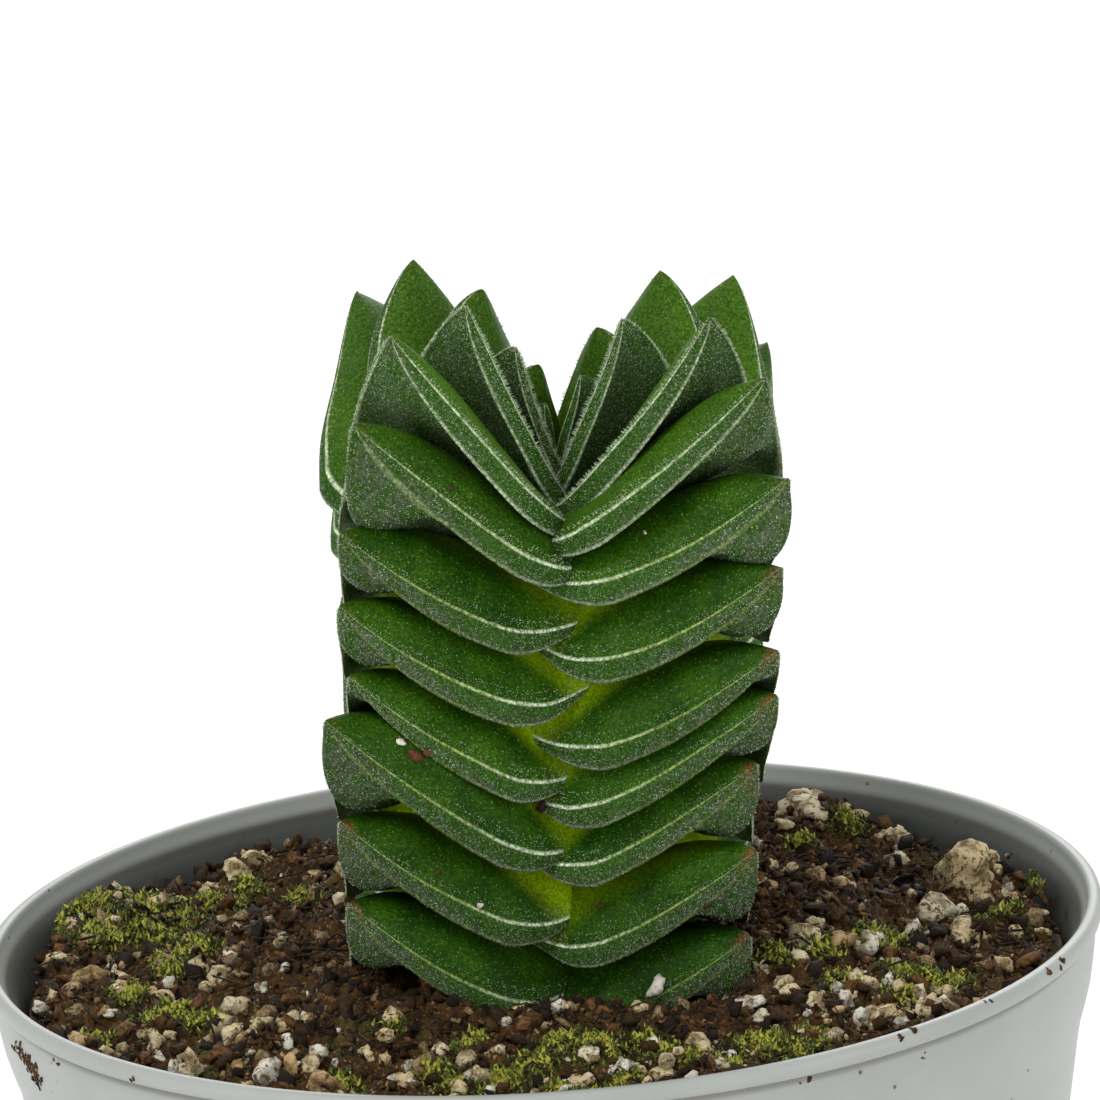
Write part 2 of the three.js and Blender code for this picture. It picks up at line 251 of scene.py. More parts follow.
# %% [markdown]
# ## Leaves: the shape
# Each leaf is a thick little roof. Its midrib is the ridge, it curves out from the stem and ends in
# a point, and both margins hang down like eaves. Underneath it is swollen into a belly. The leaves
# sit in pairs, each pair turned a quarter turn from the next, which makes the square column.
#
# A leaf could be sculpted once and copied, but no two pairs have the same curve here: the young ones
# stand up and the old ones lie flat. So the shape is a formula with a few sizes for each pair. The
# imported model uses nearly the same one. Here the bellies are a little fuller, and the ends of the
# margins are thin, curl up and tuck in behind the neighbouring leaf.

# %% Sizes of every pair
PAIRS = (
    # tip out from the axis (front, back), tip height above the soil (front, back), height of the
    # node where the leaf leaves the stem, and how far the margins hang below the tip
    ((1.0, 1.0), (26.9, 26.8), 21.5, 9.6),
    ((1.4, 1.5), (28.4, 28.4), 21.2, 9.6),
    ((3.1, 2.6), (30.0, 30.1), 20.9, 9.6),
    ((4.1, 5.4), (31.6, 31.5), 20.5, 9.6),
    ((6.5, 7.0), (32.5, 32.3), 20.1, 9.6),
    ((9.8, 10.1), (32.6, 32.2), 19.6, 9.6),
    ((11.5, 12.3), (31.8, 31.3), 19.0, 10.0),
    ((13.4, 14.0), (30.3, 30.0), 18.4, 8.7),
    ((13.9, 14.9), (27.9, 27.5), 17.9, 7.8),
    ((15.0, 15.1), (25.7, 25.1), 17.4, 5.9),
    ((14.7, 15.0), (22.8, 22.7), 16.4, 5.4),
    ((14.7, 14.9), (21.3, 21.0), 15.0, 5.1),
    ((14.7, 14.6), (19.2, 19.4), 13.0, 5.3),
    ((14.6, 14.8), (17.2, 17.3), 11.0, 5.6),
    ((14.0, 14.5), (15.6, 15.8), 8.9, 6.0),
    ((14.6, 14.8), (15.0, 14.3), 7.2, 6.8),
    ((15.6, 14.9), (13.7, 13.0), 5.5, 7.9),
    ((13.4, 13.9), (11.4, 11.2), 4.0, 6.2),
    ((14.5, 14.2), (8.5, 8.9), 2.4, 6.0),
    ((13.5, 13.9), (7.1, 7.0), 0.9, 6.0),
    ((13.9, 13.7), (4.3, 4.8), -1.0, 6.0),
    ((13.2, 13.5), (2.8, 3.0), -2.5, 6.0),
)
BUD_PAIRS = 2
FULL_PAIRS = (7, 8, 9)
WIDE_BACK_PAIRS = (7, 9)
FRONT, BACK = 0, 1
PLANT_FOOT = np.array((0.37, 1.0, 46.9))
LEAN = math.radians(4.6)


def stem_radius(height):
    return mix(2.9, 0.45, ease(16.5, 22.5, height))


def leaf_sizes(pair, side):
    outs, heights, node, hang = PAIRS[pair]
    out, top = outs[side], heights[side]
    youth = max(0, 1 - pair / 8.5)
    opening = ease(2, 10.5, pair)
    broad = ease(4, 9.5, pair)
    below = PAIRS[pair + 2][1][side] if pair + 2 < len(PAIRS) else top - 4
    snug = 1.14 if pair in FULL_PAIRS else 1.03
    young_thick = mix(1, 3.8, ease(1, 10, pair))
    thick = mix(young_thick, snug * (top - below), ease(6.5, 8, pair))
    base_out = stem_radius(node) + 0.36
    reach = math.hypot(out - base_out, top - node)
    base_tilt = math.radians(mix(80, 3, ease(0, 9, pair)))
    tip_tilt = math.radians(mix(86, -6, opening))
    base, tip = np.array((base_out, node)), np.array((out, top))
    base_way = np.array((math.cos(base_tilt), math.sin(base_tilt)))
    tip_way = np.array((math.cos(tip_tilt), math.sin(tip_tilt)))
    wider = 1.16 if side == BACK and pair in WIDE_BACK_PAIRS else 1
    narrow = 1 - 0.82 * youth**1.6 - 0.08 * ease(16, 20, pair)
    return {
        "midrib": (base, base + 0.33 * reach * base_way, tip - 0.42 * reach * tip_way, tip),
        "base_out": base_out,
        "half_width": wider * mix(5.6, 9, broad) * narrow,
        "taper": mix(3.6, 1.2, broad),
        "thickness": thick,
        "fold": mix(0.6, 1, opening),
        "flare": mix(1, 0.15, opening),
        "roof": 0.65 * opening,
        "hang": 1 - 0.85 * opening,
        "opening": opening,
        "tip_out": out,
        "tip_height": top,
        "sag": (10.4 - hang) / 144,
        "curl": 0.75 * opening,
        "swell": math.radians((20 if pair in FULL_PAIRS else 16) * opening),
        "turn": math.radians((225 if pair % 2 == 0 else 315) - 180 * side),
        "seed": pair * 2 + side,
    }


print("leaf pairs:", len(PAIRS))

# %% [markdown]
# A point of a leaf needs three numbers: how far it is along the midrib, how far across from margin
# to margin, and how deep it is below the upper surface. The same function then serves the leaf's
# mesh and its warts.

# %% A point of a leaf


def midrib_at(leaf, along):
    """Points of the midrib and its direction there, out from the stem and up."""
    a, b, c, d = (p[:, None] for p in leaf["midrib"])
    k = along.ravel()
    place = a * (1 - k) ** 3 + 3 * b * k * (1 - k) ** 2 + 3 * c * k**2 * (1 - k) + d * k**3
    way = (b - a) * (1 - k) ** 2 + 2 * (c - b) * k * (1 - k) + (d - c) * k**2
    way = way / np.linalg.norm(way, axis=0)
    return place.reshape(2, *along.shape), way.reshape(2, *along.shape)


def leaf_point(leaf, along, across, depth):
    """Places in millimetres, in the plant's own upright frame. Depth is 0 on top and 1 underneath."""
    place, way = midrib_at(leaf, along)
    side = np.abs(across)
    seed, opening = leaf["seed"], leaf["opening"]
    wave = 1 + 0.012 * np.sin(9 * along + seed) + 0.008 * np.sin(23 * along + 2.3 * seed + across)
    clasp = np.clip(1 - along / 0.5, 0, 1)
    waist = 1 - mix(0.53, 0.405, opening) * mix(1 - ease(0, 0.26, along), clasp, opening)
    half = leaf["half_width"] * waist * (1 - along ** leaf["taper"]) + 0.45 * np.sqrt(1 - along**30)
    half = half * wave
    drop = leaf["fold"] * along**1.5 * half
    ridge = place[1] + leaf["roof"] * (leaf["tip_height"] - place[1])
    span = (leaf["tip_out"] - place[0] + half) / math.sqrt(2)
    curl = leaf["curl"] * ease(0.4, 0.05, along)
    hung = leaf["tip_height"] - 0.87 * span + leaf["sag"] * span**2 + curl
    eave = mix(place[1] - way[0] * drop, hung, opening)
    down = side ** mix(2.4, 3, opening)
    back = mix(0.82 * (1 - ease(0, 0.3, along)), 0.47 * clasp, opening) * leaf["base_out"] * across**2
    deep = leaf["thickness"] * mix(0.7, 1, ease(0.45, 0.85, along))
    edge = min(1.15, 0.55 * leaf["thickness"]) * mix(mix(1, 0.14, opening), 1, ease(0.12, 0.5, along))
    nose = np.sqrt(np.maximum(0, 1 - along**7))
    belly = mix((1 - side) ** 1.7, 1 - side**2, ease(0.6, 0.85, along))
    thick = (edge + np.maximum(0, deep - edge) * belly) * nose
    bead = 0.07 * np.exp(-(((side - 0.955) / 0.035) ** 2)) * (1 - along**30)
    bulge = 0.1 * edge * np.sin(math.pi * depth) * nose
    uneven = 0.05 * np.sin(11.7 * along + 3 * across + 1.7 * seed) * along
    swell = leaf["swell"] * ease(0.6, 0.85, along) * (1 - side**2)
    fall = depth * thick - (1 - depth) * (bead * (side < 1.001) + uneven)
    tilt = np.arcsin(np.clip(way[1] * leaf["hang"], -1, 1)) + swell
    out = place[0] + leaf["flare"] * way[1] * drop * down - back + fall * np.sin(tilt)
    height = mix(ridge, eave, down) - fall * np.cos(tilt)
    wide = half * across + np.sign(across) * bulge * (side > 0.999)
    cosine, sine = math.cos(leaf["turn"]), math.sin(leaf["turn"])
    return np.stack((out * cosine - wide * sine, out * sine + wide * cosine, height), axis=-1)


def in_plant(points):
    """From the plant's upright frame to the row's frame: the column leans towards +X."""
    x, y, z = points[..., 0], points[..., 1], points[..., 2]
    cosine, sine = math.cos(LEAN), math.sin(LEAN)
    return np.stack((x * cosine + z * sine, y, z * cosine - x * sine), axis=-1) + PLANT_FOOT


# %% [markdown]
# ## Leaves: the mesh
# One grid is wrapped round the leaf like a sleeve. It starts under the leaf at the keel, goes out to
# one margin, over the top to the other margin and back to the keel, and its rows run from the stem
# to the tip. The rows crowd together at the tip, where the belly turns up steeply. Merging the
# doubles closes the sleeve along the keel and at the tip.
#
# Each vertex keeps three numbers for the finish: how far along the leaf it is, how far round it is
# (0 on the midrib, 1 at the upper margin, 2 at the lower margin, 3 at the keel), and how far out of
# the column it is, which tells the shaded recesses from the faces.

# %% Leaf blade
under_half = np.linspace(0, 1, 10) ** 0.8
margin_depths = np.array((0.9, 0.72, 0.5, 0.28, 0.1))
top_across = np.sin(np.linspace(-0.5, 0.5, 25) * math.pi) * 0.5 + np.linspace(-1, 1, 25) * 0.5
ROUND_ACROSS = np.concatenate((-under_half, -np.ones(5), top_across, np.ones(5), under_half[::-1]))
ROUND_DEPTH = np.concatenate(
    (np.ones(10), margin_depths, np.zeros(25), margin_depths[::-1], np.ones(10))
)
LEAF_ROWS = 46
MARKS = ("along", "round", "outward")


def add_mesh(bm, mesh):
    """Moves a mesh into a bmesh."""
    bm.from_mesh(mesh)
    bpy.data.meshes.remove(mesh)


def round_number(across, depth):
    side = np.abs(across)
    return np.where(depth <= 0, side, np.where(depth >= 1, 3 - side, 1 + depth))


def add_blade(bm, leaf, rows=LEAF_ROWS):
    """Adds one closed leaf to a bmesh, in metres."""
    own = bmesh.new()
    layers = [own.verts.layers.float.new(name) for name in MARKS]
    bmesh.ops.create_grid(own, x_segments=len(ROUND_ACROSS) - 1, y_segments=rows - 1, size=0.5)
    flat = np.array([v.co for v in own.verts])
    column = np.rint((flat[:, 0] + 0.5) * (len(ROUND_ACROSS) - 1)).astype(int)
    up_the_leaf = 1 - (1 - (flat[:, 1] + 0.5)) ** 1.9
    across, depth = ROUND_ACROSS[column], ROUND_DEPTH[column]
    upright = leaf_point(leaf, up_the_leaf, across, depth)
    outward = np.abs(upright[:, :2]).max(axis=1)
    marks = zip(up_the_leaf, round_number(across, depth), outward)
    for vertex, place, values in zip(own.verts, in_plant(upright) * MM, marks):
        vertex.co = place
        for layer, value in zip(layers, values):
            vertex[layer] = value
    bmesh.ops.remove_doubles(own, verts=own.verts, dist=2e-6)
    bmesh.ops.holes_fill(own, edges=own.edges, sides=0)
    bmesh.ops.recalc_face_normals(own, faces=own.faces)
    for face in own.faces:
        face.smooth = True
    add_mesh(bm, mesh_of(own, "blade"))


# %% [markdown]
# ## Copies of a small shape
# Warts, crumbs, grains and moss are one small shape many times over. Particles would do it, but they
# are lost when the model is exported, so the copies are real: one shape is made with an operator,
# and its vertices are laid out again for each place, each with its own turn, size and shade.

# %% Scatter


def turned_towards(ways, spin):
    """One rotation matrix for each direction, with the shape's +Z along it."""
    z = ways / np.linalg.norm(ways, axis=1, keepdims=True)
    helper = np.where(np.abs(z[:, 2:3]) < 0.9, np.array([[0.0, 0.0, 1.0]]), np.array([[1.0, 0.0, 0.0]]))
    x = np.cross(helper, z)
    x /= np.linalg.norm(x, axis=1, keepdims=True)
    y = np.cross(z, x)
    cosine, sine = np.cos(spin)[:, None], np.sin(spin)[:, None]
    return np.stack((x * cosine + y * sine, y * cosine - x * sine, z), axis=2)


def scattered(name, shape, places, ways, sizes, tones):
    """A mesh of copies of a small mesh. Places and sizes are in millimetres."""
    count = len(places)
    base = np.array([v.co for v in shape.vertices])
    corners = np.array([i for p in shape.polygons for i in p.vertices])
    lengths = np.array([len(p.vertices) for p in shape.polygons])
    turns = turned_towards(ways, chance.uniform(0, 2 * math.pi, count))
    points = np.einsum("nij,nkj->nki", turns, base[None] * sizes[:, None, :]) + places[:, None, :]
    mesh = bpy.data.meshes.new(name)
    mesh.vertices.add(count * len(base))
    mesh.vertices.foreach_set("co", (points * MM).astype(np.float32).ravel())
    mesh.loops.add(count * len(corners))
    shifts = np.repeat(np.arange(count) * len(base), len(corners))
    mesh.loops.foreach_set("vertex_index", (np.tile(corners, count) + shifts).astype(np.int32))
    mesh.polygons.add(count * len(lengths))
    starts = np.concatenate(((0,), np.cumsum(np.tile(lengths, count))[:-1]))
    mesh.polygons.foreach_set("loop_start", starts.astype(np.int32))
    mesh.update(calc_edges=True)
    tone = mesh.attributes.new("tone", "FLOAT", "POINT")
    tone.data.foreach_set("value", np.repeat(tones, len(base)).astype(np.float32))
    return mesh


def single(shape, place, way, size, tone):
    """One copy of a small mesh."""
    return scattered("copy", shape, *(np.array([value]) for value in (place, way, size, tone)))


def dented(bm, roughen, seed=0):
    """A small mesh with dents, which differ from seed to seed."""
    for vertex in bm.verts:
        spot = vertex.co + Vector((seed * 4.3, 0, 0))
        vertex.co *= 1 + roughen * (noise.noise(spot * 1.7) + 0.35 * noise.noise(spot * 5))
    return mesh_of(bm, "shape")


def small_cone(sides, top=0.0, capped=False, roughen=0.0):
    bm = bmesh.new()
    bmesh.ops.create_cone(bm, cap_ends=capped, segments=sides, radius1=0.5, radius2=top, depth=1.0)
    return dented(bm, roughen)


def small_ball(subdivisions, roughen, seed):
    bm = bmesh.new()
    bmesh.ops.create_icosphere(bm, subdivisions=subdivisions, radius=0.5)
    return dented(bm, roughen, seed)


def show(mesh, name, slot, *finishes, replaces=()):
    """Puts a finished mesh in the scene as a piece of the plant."""
    mesh.name = name
    piece = put_in_scene(name, mesh)
    for finish in finishes:
        mesh.materials.append(finish)
    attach(piece, "root")
    if replaces:
        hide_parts(*replaces)
    return piece


# %% [markdown]
# ## Leaves: the finish
# The top of a leaf is smooth and deep green, and turns yellow-green towards the stem and deep in the
# recesses, where it is young and shaded: partly the young tissue's own colour, and partly a painted
# glow for the light that shines through the leaves there. Its margin is a thin pale line. The side
# and the belly are frosted: tiny white
# warts stand so close that the green looks grey. Old tips are brown and corky.
#
# The frost could be one grey colour, but close up it is dots, so a cell pattern makes the dots and
# also lifts them from the surface.

# %% Leaf finish
DEEP_GREEN = (0.009, 0.040, 0.001)
LEAF_GREEN = (0.028, 0.084, 0.002)
FRESH_GREEN_AND_BACKLIGHT = (0.060, 0.135, 0.010)
YOUNG_YELLOW_AND_GLOW = (0.33, 0.52, 0.003)
SPECK_GREEN = (0.17, 0.28, 0.08)
SIDE_GREEN = (0.024, 0.076, 0.004)
FROST_GREY = (0.068, 0.090, 0.050)
WART_WHITE = (0.44, 0.50, 0.36)
MARGIN_OLIVE = (0.26, 0.33, 0.09)
MARGIN_WHITE = (0.62, 0.72, 0.50)
CORK_BROWN = (0.15, 0.055, 0.022)


def leaf_finish(name, shade, cork, age, glow):
    """Shade shifts the green, cork is how brown the tip is, age how frosted, glow how much yellow is
    painted deep inside, for young tissue and for light shining through the leaves.
    """
    paint = Finish(name, gloss=0.06)
    along, around, outward = paint.own("along"), paint.own("round"), paint.own("outward")
    patches = paint.noise(0.35, 3.0)
    fine = paint.noise(6.0, 2.0)
    fine_patches = paint.step(fine, 0.36, 0.56)

    top = paint.blend(paint.step(patches, 0.3, 0.7), DEEP_GREEN, LEAF_GREEN)
    # The young leaves' tops are lighter green: partly their own colour, and partly painted light shining
    # through them from behind.
    top = paint.blend(1 - age, top, FRESH_GREEN_AND_BACKLIGHT)
    # Painted light: deep in the recesses and at the margins' inner ends the top turns yellow, partly the
    # young tissue's own colour and partly a painted glow of light shining through the leaves.
    recess_glow = paint.step(outward, 7.2, 8.8, glow, 0.0)
    margin_end_glow = paint.step(along, 0.13, 0.27, glow, 0.0)
    top = paint.blend(paint.larger(recess_glow, margin_end_glow), top, YOUNG_YELLOW_AND_GLOW)
    specks = paint.times(paint.dots(6.0, 0.27), fine_patches)
    top = paint.blend(paint.times(specks, 0.8), top, SPECK_GREEN)

    near_tip = paint.times(paint.step(along, 0.55, 0.85), 0.45)
    frost = paint.step(paint.math("ADD", around, near_tip), 1.3, 2.2, 0.05, 0.8)
    crowd = paint.step(paint.noise(1.4, 3.0), 0.3, 0.62)
    grey = paint.times(paint.times(frost, crowd), age)
    belly = paint.blend(grey, SIDE_GREEN, FROST_GREY)
    warts = paint.dots(10.5, 0.46)
    bright = paint.step(paint.noise(8.0, 2.0, 0.7), 0.42, 0.62)
    bright = paint.times(bright, paint.step(frost, 0.0, 0.7, 0.45, 0.75 + 0.25 * age))
    belly = paint.blend(paint.times(warts, bright), belly, WART_WHITE)
    colour = paint.blend(paint.step(around, 1.0, 1.06), top, belly)

    line_start = paint.step(around, 0.965 + 0.021 * age, 0.99 + 0.007 * age)
    upper_line = paint.times(line_start, paint.step(around, 1.0, 1.08, 1.0, 0.0))
    lower_line = paint.times(
        paint.step(around, 1.8, 1.95), paint.step(around, 2.02, 2.12, 1.0 - 0.6 * age, 0.0)
    )
    lines = paint.larger(upper_line, lower_line)
    lines = paint.times(lines, paint.step(fine, 0.36, 0.56, 0.35, 1.0))
    olive = paint.times(paint.step(along, 0.3, 0.75), age)
    colour = paint.blend(lines, colour, paint.blend(olive, MARGIN_WHITE, MARGIN_OLIVE))

    rust = paint.times(paint.step(along, 0.955, 0.99), paint.step(fine, 0.35, 0.6))
    rust = paint.times(rust, paint.step(around, 1.2, 1.7, cork, 0.25 * cork))
    freckles = paint.step(paint.noise(1.3, 3.0), 0.70, 0.74, 0.0, 0.7 * cork)
    freckles = paint.times(freckles, paint.step(around, 1.0, 1.3))
    colour = paint.blend(paint.larger(rust, freckles), colour, CORK_BROWN)
    velvet = paint.step(paint.noise(6.5, 3.0, 0.75), 0.36, 0.64, 0.62 * shade, 1.45 * shade)
    tint = paint.node("ShaderNodeHueSaturation", {"Value": velvet, "Color": colour})
    paint.give("Base Color", tint.outputs["Color"])
    paint.give("Roughness", paint.step(around, 0.97, 1.4, 0.4, 0.62))
    paint.relief(paint.times(warts, paint.step(around, 0.9, 1.3, 0.12, 1.0)), 0.05)
    return paint.material


CORKY_TIPS = {11: 0.75, 13: 1.0, 15: 0.85, 17: 1.0, 18: 0.8, 19: 1.0, 20: 0.7, 21: 0.9}
leaf_finishes = []
for pair in range(len(PAIRS)):
    shade = 1.0 + 0.07 * math.sin(2.3 * pair)
    cork = CORKY_TIPS.get(pair, 0.15)
    age = mix(0.35, 1, ease(5, 10, pair))
    glow = ease(8.5, 11.5, pair) * ease(20, 17.5, pair)
    leaf_finishes.append(leaf_finish(f"leaf_green_{pair + 1:02d}", shade, cork, age, glow))
print("leaf finishes:", len(leaf_finishes))

# %% [markdown]
# The warts that stand on a margin catch the light against the background, and a bump can't change an
# outline. So the margins, the tips and part of the belly get real ones: tiny three-sided cones, a
# tenth of a millimetre high, and twice as high on the young leaves.

# %% Warts
wart_shape = small_cone(3)
paint = Finish("frost_wart", roughness=0.55)
paint.give("Base Color", paint.blend(paint.own("tone"), (0.22, 0.32, 0.14), (0.60, 0.66, 0.52)))
wart_finish = paint.material
ON_TOP, ON_SIDE = 0.35, 0.7
STEP = 0.004


def warts_on(leaf, count):
    """Warts crowd at both edges of the leaf's side and thin out over the belly."""
    along = 1 - chance.beta(1.0, 1.6, count) * 0.95
    kind = chance.random(count)
    on_top, on_side = kind < ON_TOP, (kind > ON_TOP) & (kind < ON_SIDE)
    sign = np.where(chance.random(count) < 0.5, -1.0, 1.0)
    depth = np.where(on_top, 0.0, np.where(kind < ON_SIDE, chance.random(count), 1.0))
    near_margin = chance.uniform(0.94, 1.0, count)
    across = sign * np.where(on_top, near_margin, np.where(kind < ON_SIDE, 1.0, chance.random(count)))

    here = leaf_point(leaf, along, across, depth)
    nearer_stem = leaf_point(leaf, np.clip(along - STEP, 0, 1), across, depth)
    deeper = leaf_point(leaf, along, across, np.clip(depth + STEP * 5, 0, 1))
    inner = leaf_point(leaf, along, across - sign * STEP, depth)
    ways = np.cross(here - nearer_stem, here - np.where(on_side[:, None], deeper, inner))
    centre = leaf_point(leaf, along, across * 0.4, np.full(count, 0.5))
    ways *= np.sign(np.sum(ways * (here - centre), axis=1))[:, None]
    length = np.linalg.norm(ways, axis=1)
    keep = length > 1e-9
    ways = ways[keep] / length[keep][:, None]

    tall = np.where(on_top[keep], mix(0.2, 0.11, leaf["opening"]), 0.08)
    tall = tall * chance.uniform(0.5, 1.5, keep.sum())
    wide = 0.045 * chance.uniform(0.7, 1.3, keep.sum())
    places = in_plant(here[keep] + ways * tall[:, None] * 0.35)
    ways = in_plant(ways) - PLANT_FOOT
    sizes = np.stack((wide, wide, tall), axis=1)
    return scattered("warts", wart_shape, places, ways, sizes, chance.random(keep.sum()))


print("warts are", len(wart_shape.polygons), "faces each")

# %% [markdown]
# Now every leaf is built and takes the place of its solid. The leaves at the front get more warts,
# because the camera sees them.

# %% Build the leaves
blades = {}
WARTS = {FRONT: 2200, BACK: 600}
for pair in range(BUD_PAIRS, len(PAIRS)):
    for side, word in ((FRONT, "front"), (BACK, "back")):
        leaf = leaf_sizes(pair, side)
        bm = bmesh.new()
        add_blade(bm, leaf)
        blade_faces = len(bm.faces)
        add_mesh(bm, warts_on(leaf, WARTS[side]))
        bm.faces.ensure_lookup_table()
        for face in bm.faces[blade_faces:]:
            face.material_index = 1
        row = f"{pair + 1:02d}_{word}"
        finishes = (leaf_finishes[pair], wart_finish)
        blade = show(mesh_of(bm, "leaf"), f"blade_{row}", "leaf", *finishes, replaces=[f"leaf_{row}"])
        blades[row] = blade
print("leaves:", len(blades), "with", sum(len(b.data.polygons) for b in blades.values()), "faces")

# %% [markdown]
# ## Stem and growing tip
# The stem is hidden by the leaves, apart from the yellow-green recesses between them. It ends in a
# bud: two pairs of scales round a rounded tip. The stem is a profile, spun round its axis.

# %% Stem and bud
SPIN_STEPS = 36


def spun(profile, steps):
    """A closed, rounded body from a profile of (radius, height), spun round the Z axis."""
    bm = bmesh.new()
    points = [bm.verts.new((radius * MM, 0, height * MM)) for radius, height in profile]
    edges = [bm.edges.new(pair) for pair in zip(points, points[1:])]
    full_turn = {"axis": (0, 0, 1), "cent": (0, 0, 0), "angle": 2 * math.pi}
    bmesh.ops.spin(bm, geom=points + edges, steps=steps, use_merge=True, **full_turn)
    bmesh.ops.remove_doubles(bm, verts=bm.verts, dist=1e-6)
    bmesh.ops.recalc_face_normals(bm, faces=bm.faces)
    for face in bm.faces:
        face.smooth = True
    return bm


stem_profile = [(0, -12.0), (2.2, -12.0), (2.7, -11.7)]
stem_profile += [(stem_radius(h), h) for h in np.linspace(-11, 21.6, 40)]
stem_profile += [(0.36, 21.8), (0.2, 21.9), (0, 21.95)]
bm = spun(stem_profile, SPIN_STEPS)
along_layer = [bm.verts.layers.float.new(name) for name in MARKS][0]
for vertex in bm.verts:
    vertex.co = Vector(in_plant(np.array(vertex.co) / MM)) * MM
    vertex[along_layer] = 0.1
for pair in range(BUD_PAIRS):
    for side in (FRONT, BACK):
        add_blade(bm, leaf_sizes(pair, side), rows=16)
stem_mesh = mesh_of(bm, "stem")
show(stem_mesh, "stem_and_bud", "stem", leaf_finishes[1], replaces=["stem"])
print("stem and bud:", len(stem_mesh.polygons), "faces")

# %% [markdown]
# ## Pot
# A thin moulded pot of light grey plastic. Its wall tapers, a low collar runs round the rim, and the
# bottom has four holes. It is a lathe shape, so its section is spun. The holes are cut with a Boolean
# modifier, because a spun mesh has no round edges where they go.

# %% Pot shape
POT_HEIGHT = 48
POT_STEPS = 192
HOLE_CIRCLE = 12
HOLE_RADIUS = 1.9


def wall_radius(height):
    """Inside radius of the pot's wall."""
    return mix(18.6, 26.25, height / POT_HEIGHT)


# The section, as (radius, height): the foot, the wall, the collar, and back down the inside.
foot = [(0, 0), (9, 0), (17.6, 0), (18.7, 0), (19.1, 0.08), (19.34, 0.26), (19.46, 0.6)]
wall_heights = np.linspace(1.5, 46.95, 48)
skirt = 0.28 * ease(46.9, 45.8, wall_heights) * ease(41.5, 44.2, wall_heights)
outer = [(19.46 + 7.54 * (h - 0.6) / 46.35 + s, h) for h, s in zip(wall_heights, skirt)]
collar = [(27.03, 47.08), (27.12, 47.15), (27.36, 47.17), (27.46, 47.24), (27.5, 47.36), (27.5, 47.62)]
collar += [(27.46, 47.8), (27.36, 47.93), (27.22, 47.99), (27.05, 48.0), (26.92, 47.97), (26.83, 47.88)]
collar += [(26.79, 47.74), (26.6, 47.3), (26.32, 46.9)]
inner = [(wall_radius(h), h) for h in np.linspace(46.4, 2.0, 20)]
inside_floor = [(18.5, 1.45), (18.1, 1.24), (17.4, 1.2), (9, 1.2), (0, 1.2)]
bm = spun(foot + outer + collar + inner + inside_floor, POT_STEPS)
pot = put_in_scene("pot_uncut", mesh_of(bm, "pot"))

bm = bmesh.new()
for k in range(4):
    turn = (k + 0.5) * math.pi / 2
    spot = Matrix.Translation((HOLE_CIRCLE * MM * math.cos(turn), HOLE_CIRCLE * MM * math.sin(turn), 0))
    round_bar = {"radius1": HOLE_RADIUS * MM, "radius2": HOLE_RADIUS * MM, "depth": 6 * MM}
    bmesh.ops.create_cone(bm, cap_ends=True, segments=32, matrix=spot, **round_bar)
drill = put_in_scene("drill", mesh_of(bm, "drill"))
cut = pot.modifiers.new("holes", "BOOLEAN")
cut.operation, cut.solver, cut.object = "DIFFERENCE", "EXACT", drill
pot_cut = bpy.data.meshes.new_from_object(pot.evaluated_get(bpy.context.evaluated_depsgraph_get()))
for item in (pot, drill):
    bpy.data.objects.remove(item)
print("pot:", len(pot_cut.polygons), "faces")

# %% [markdown]
# The plastic is smooth with a faint grain, a little dusty, and dotted with soil. Inside, above the
# soil, watering has left a darker film. The inside of the wall is also painted dark as shade, and a
# painted shadow line runs under the collar.

# %% Pot finish
POT_GREY = (0.325, 0.337, 0.310)
POT_LIGHT = (0.368, 0.381, 0.353)
POT_INSIDE_SHADE = (0.080, 0.087, 0.080)
SOIL_STAIN_AND_SHADE = (0.055, 0.030, 0.014)
WALL_SLOPE = 7.65 / 48

paint = Finish("grey_plastic", roughness=0.42, gloss=0.35)
xyz = paint.node("ShaderNodeSeparateXYZ", {"Vector": paint.place}).outputs
flat = paint.node("ShaderNodeCombineXYZ", {"X": xyz["X"], "Y": xyz["Y"]}).outputs[0]
radius = paint.node("ShaderNodeVectorMath", {0: flat}, operation="LENGTH").outputs["Value"]
height = xyz["Z"]
from_wall = paint.math("SUBTRACT", radius, paint.times(height, WALL_SLOPE))
inside = paint.step(from_wall, 19.15 * MM, 18.95 * MM)
below_rim = paint.step(height, 47.6 * MM, 46.8 * MM)
cloudy = paint.noise(0.12, 4.0)
colour = paint.blend(paint.step(cloudy, 0.3, 0.7), POT_GREY, POT_LIGHT)
# Painted shade: the inside of the wall, below the rim, is painted much darker for the shade inside the
# pot.
colour = paint.blend(paint.times(inside, below_rim), colour, POT_INSIDE_SHADE)
# Painted shadow: a dark line just under the collar, in the soil-stain colour, for the shade the collar
# casts. The specks and the film below use the same colour as real soil stains.
collar_shadow_foot = paint.step(height, 46.6 * MM, 46.95 * MM)
collar_shadow = paint.times(collar_shadow_foot, paint.step(height, 47.0 * MM, 47.15 * MM, 0.5, 0.0))
colour = paint.blend(collar_shadow, colour, SOIL_STAIN_AND_SHADE)
specks = paint.times(paint.dots(0.9, 0.13), paint.step(paint.noise(0.25, 2.0), 0.5, 0.62))
film = paint.times(inside, paint.step(paint.noise(0.8, 4.0), 0.5, 0.7))
film = paint.times(film, paint.step(height, 46.9 * MM, 45.6 * MM))
colour = paint.blend(paint.times(paint.larger(specks, film), 0.85), colour, SOIL_STAIN_AND_SHADE)
paint.give("Base Color", colour)
paint.give("Roughness", paint.step(cloudy, 0.3, 0.7, 0.36, 0.48))
paint.relief(paint.noise(2.2, 2.0), 0.012)
show(pot_cut, "pot_shell", "pot", paint.material, replaces=["pot"])

